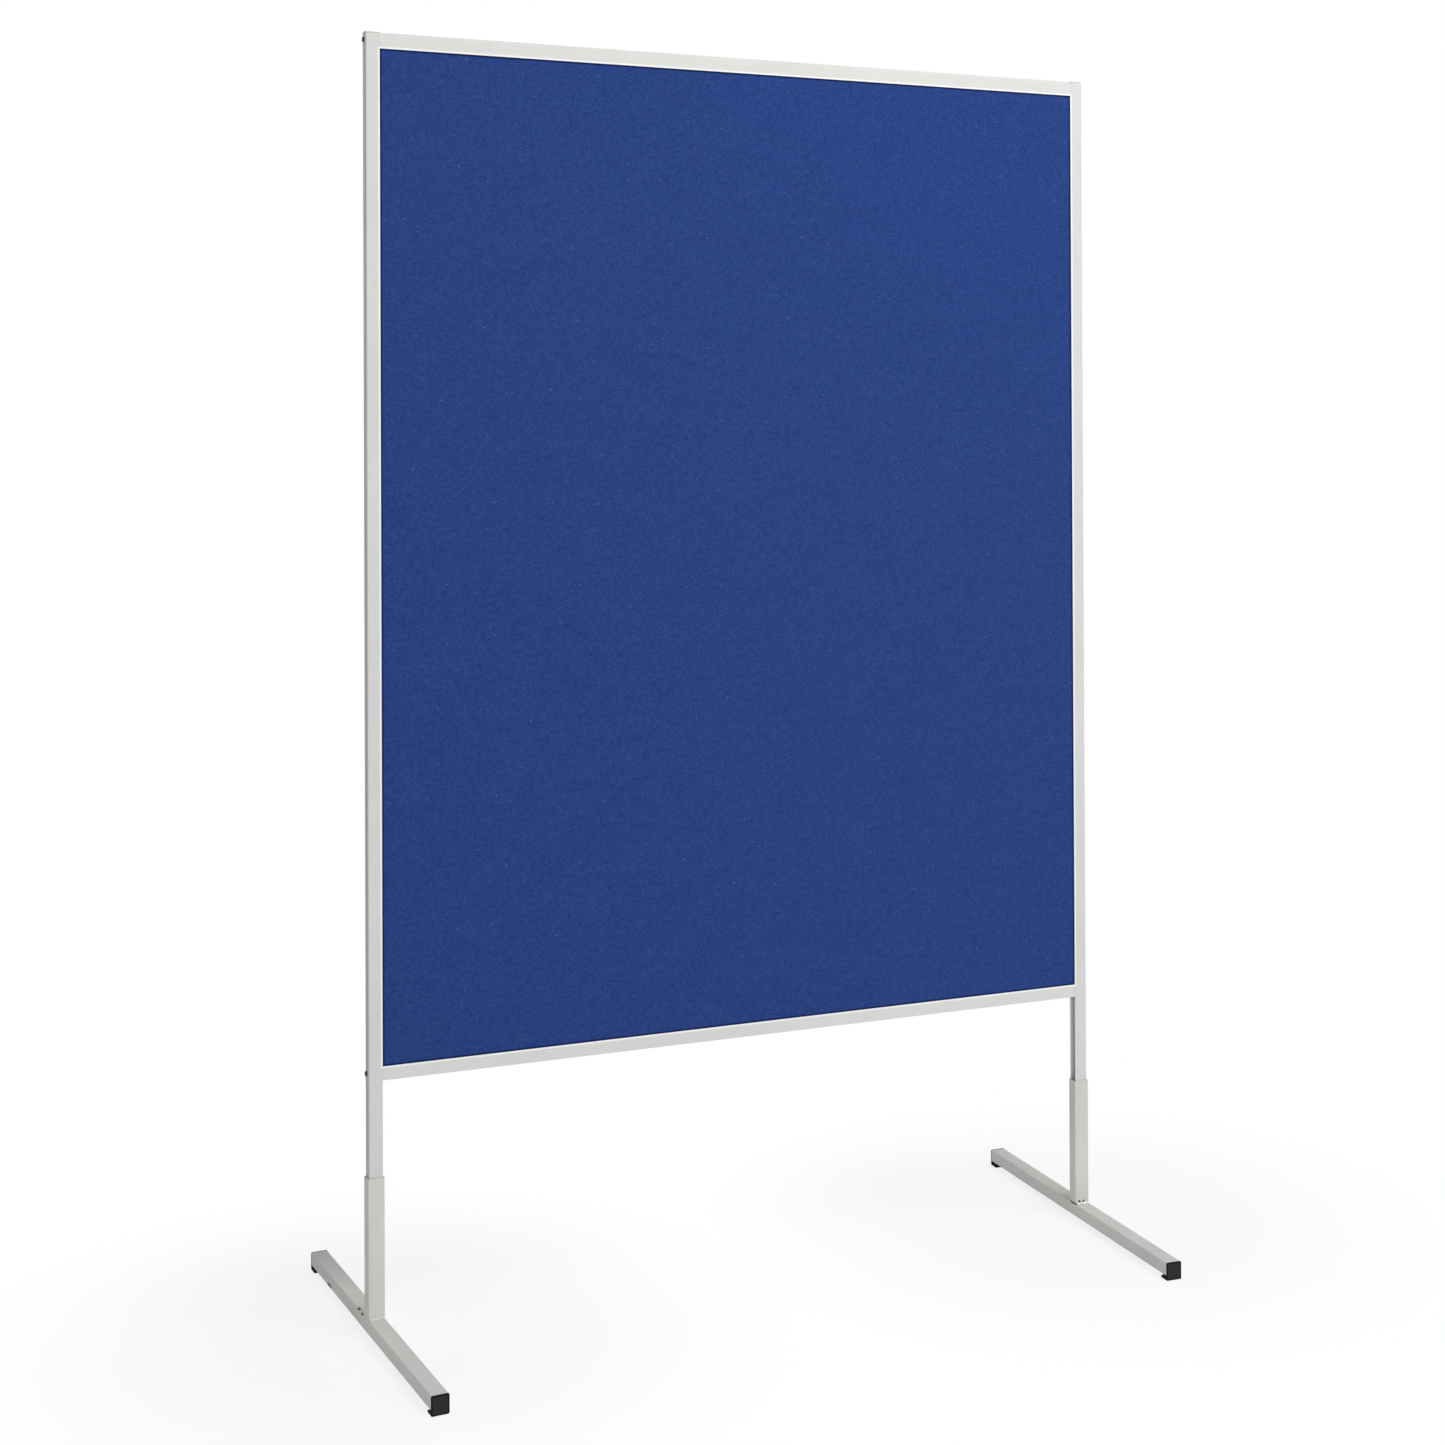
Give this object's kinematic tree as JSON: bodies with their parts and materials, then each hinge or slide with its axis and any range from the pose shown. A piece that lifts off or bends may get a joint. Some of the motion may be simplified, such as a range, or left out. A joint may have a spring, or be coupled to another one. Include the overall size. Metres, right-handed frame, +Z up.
{
  "type": "mobile pinboard",
  "caption": "Free-standing pinboard: a felt-faced soft panel in a slim extruded frame, held upright by two plug-on T-shaped tube feet with moulded glides.",
  "frame": {"origin": "on the floor, under the middle of the board", "axes": "+X to the right along the board, +Y to the rear, +Z up; the front faces -Y"},
  "size_m": [1.233, 0.5756, 1.8656],
  "materials": {
    "light_grey_frame": "satin light grey",
    "light_grey_tube": "fine powder coat, light grey",
    "painted_weld": "fine powder coat over a ripple weld",
    "grey_plastic": "moulded matte",
    "black_plastic": "moulded matte",
    "dark_steel": "dark plated",
    "fibreboard": "soft wood fibre",
    "blue_felt": "needled felt"
  },
  "bodies": {
    "board": {"left_upright": "light_grey_frame", "right_upright": "light_grey_frame", "top_rail": "light_grey_frame", "bottom_rail": "light_grey_frame", "board_core": "fibreboard", "front_felt": "blue_felt", "rear_felt": "blue_felt", "left_top_screw": "dark_steel", "left_bottom_screw": "dark_steel", "left_top_cap": "grey_plastic", "right_top_screw": "dark_steel", "right_bottom_screw": "dark_steel", "right_top_cap": "grey_plastic"},
    "left_foot": {"left_stem": "light_grey_tube", "left_floor_bar": "light_grey_tube", "left_front_weld": "painted_weld", "left_front_end_cap": "black_plastic", "left_rear_weld": "painted_weld", "left_rear_end_cap": "black_plastic"},
    "right_foot": {"right_stem": "light_grey_tube", "right_floor_bar": "light_grey_tube", "right_front_weld": "painted_weld", "right_front_end_cap": "black_plastic", "right_rear_weld": "painted_weld", "right_rear_end_cap": "black_plastic"}
  },
  "joints": [
    {"name": "left_foot_plug", "type": "slide", "parent": "board", "child": "left_foot", "axis": [0, 0, -1], "range_m": [0, 0.21]},
    {"name": "right_foot_plug", "type": "slide", "parent": "board", "child": "right_foot", "axis": [0, 0, -1], "range_m": [0, 0.21]}
  ]
}
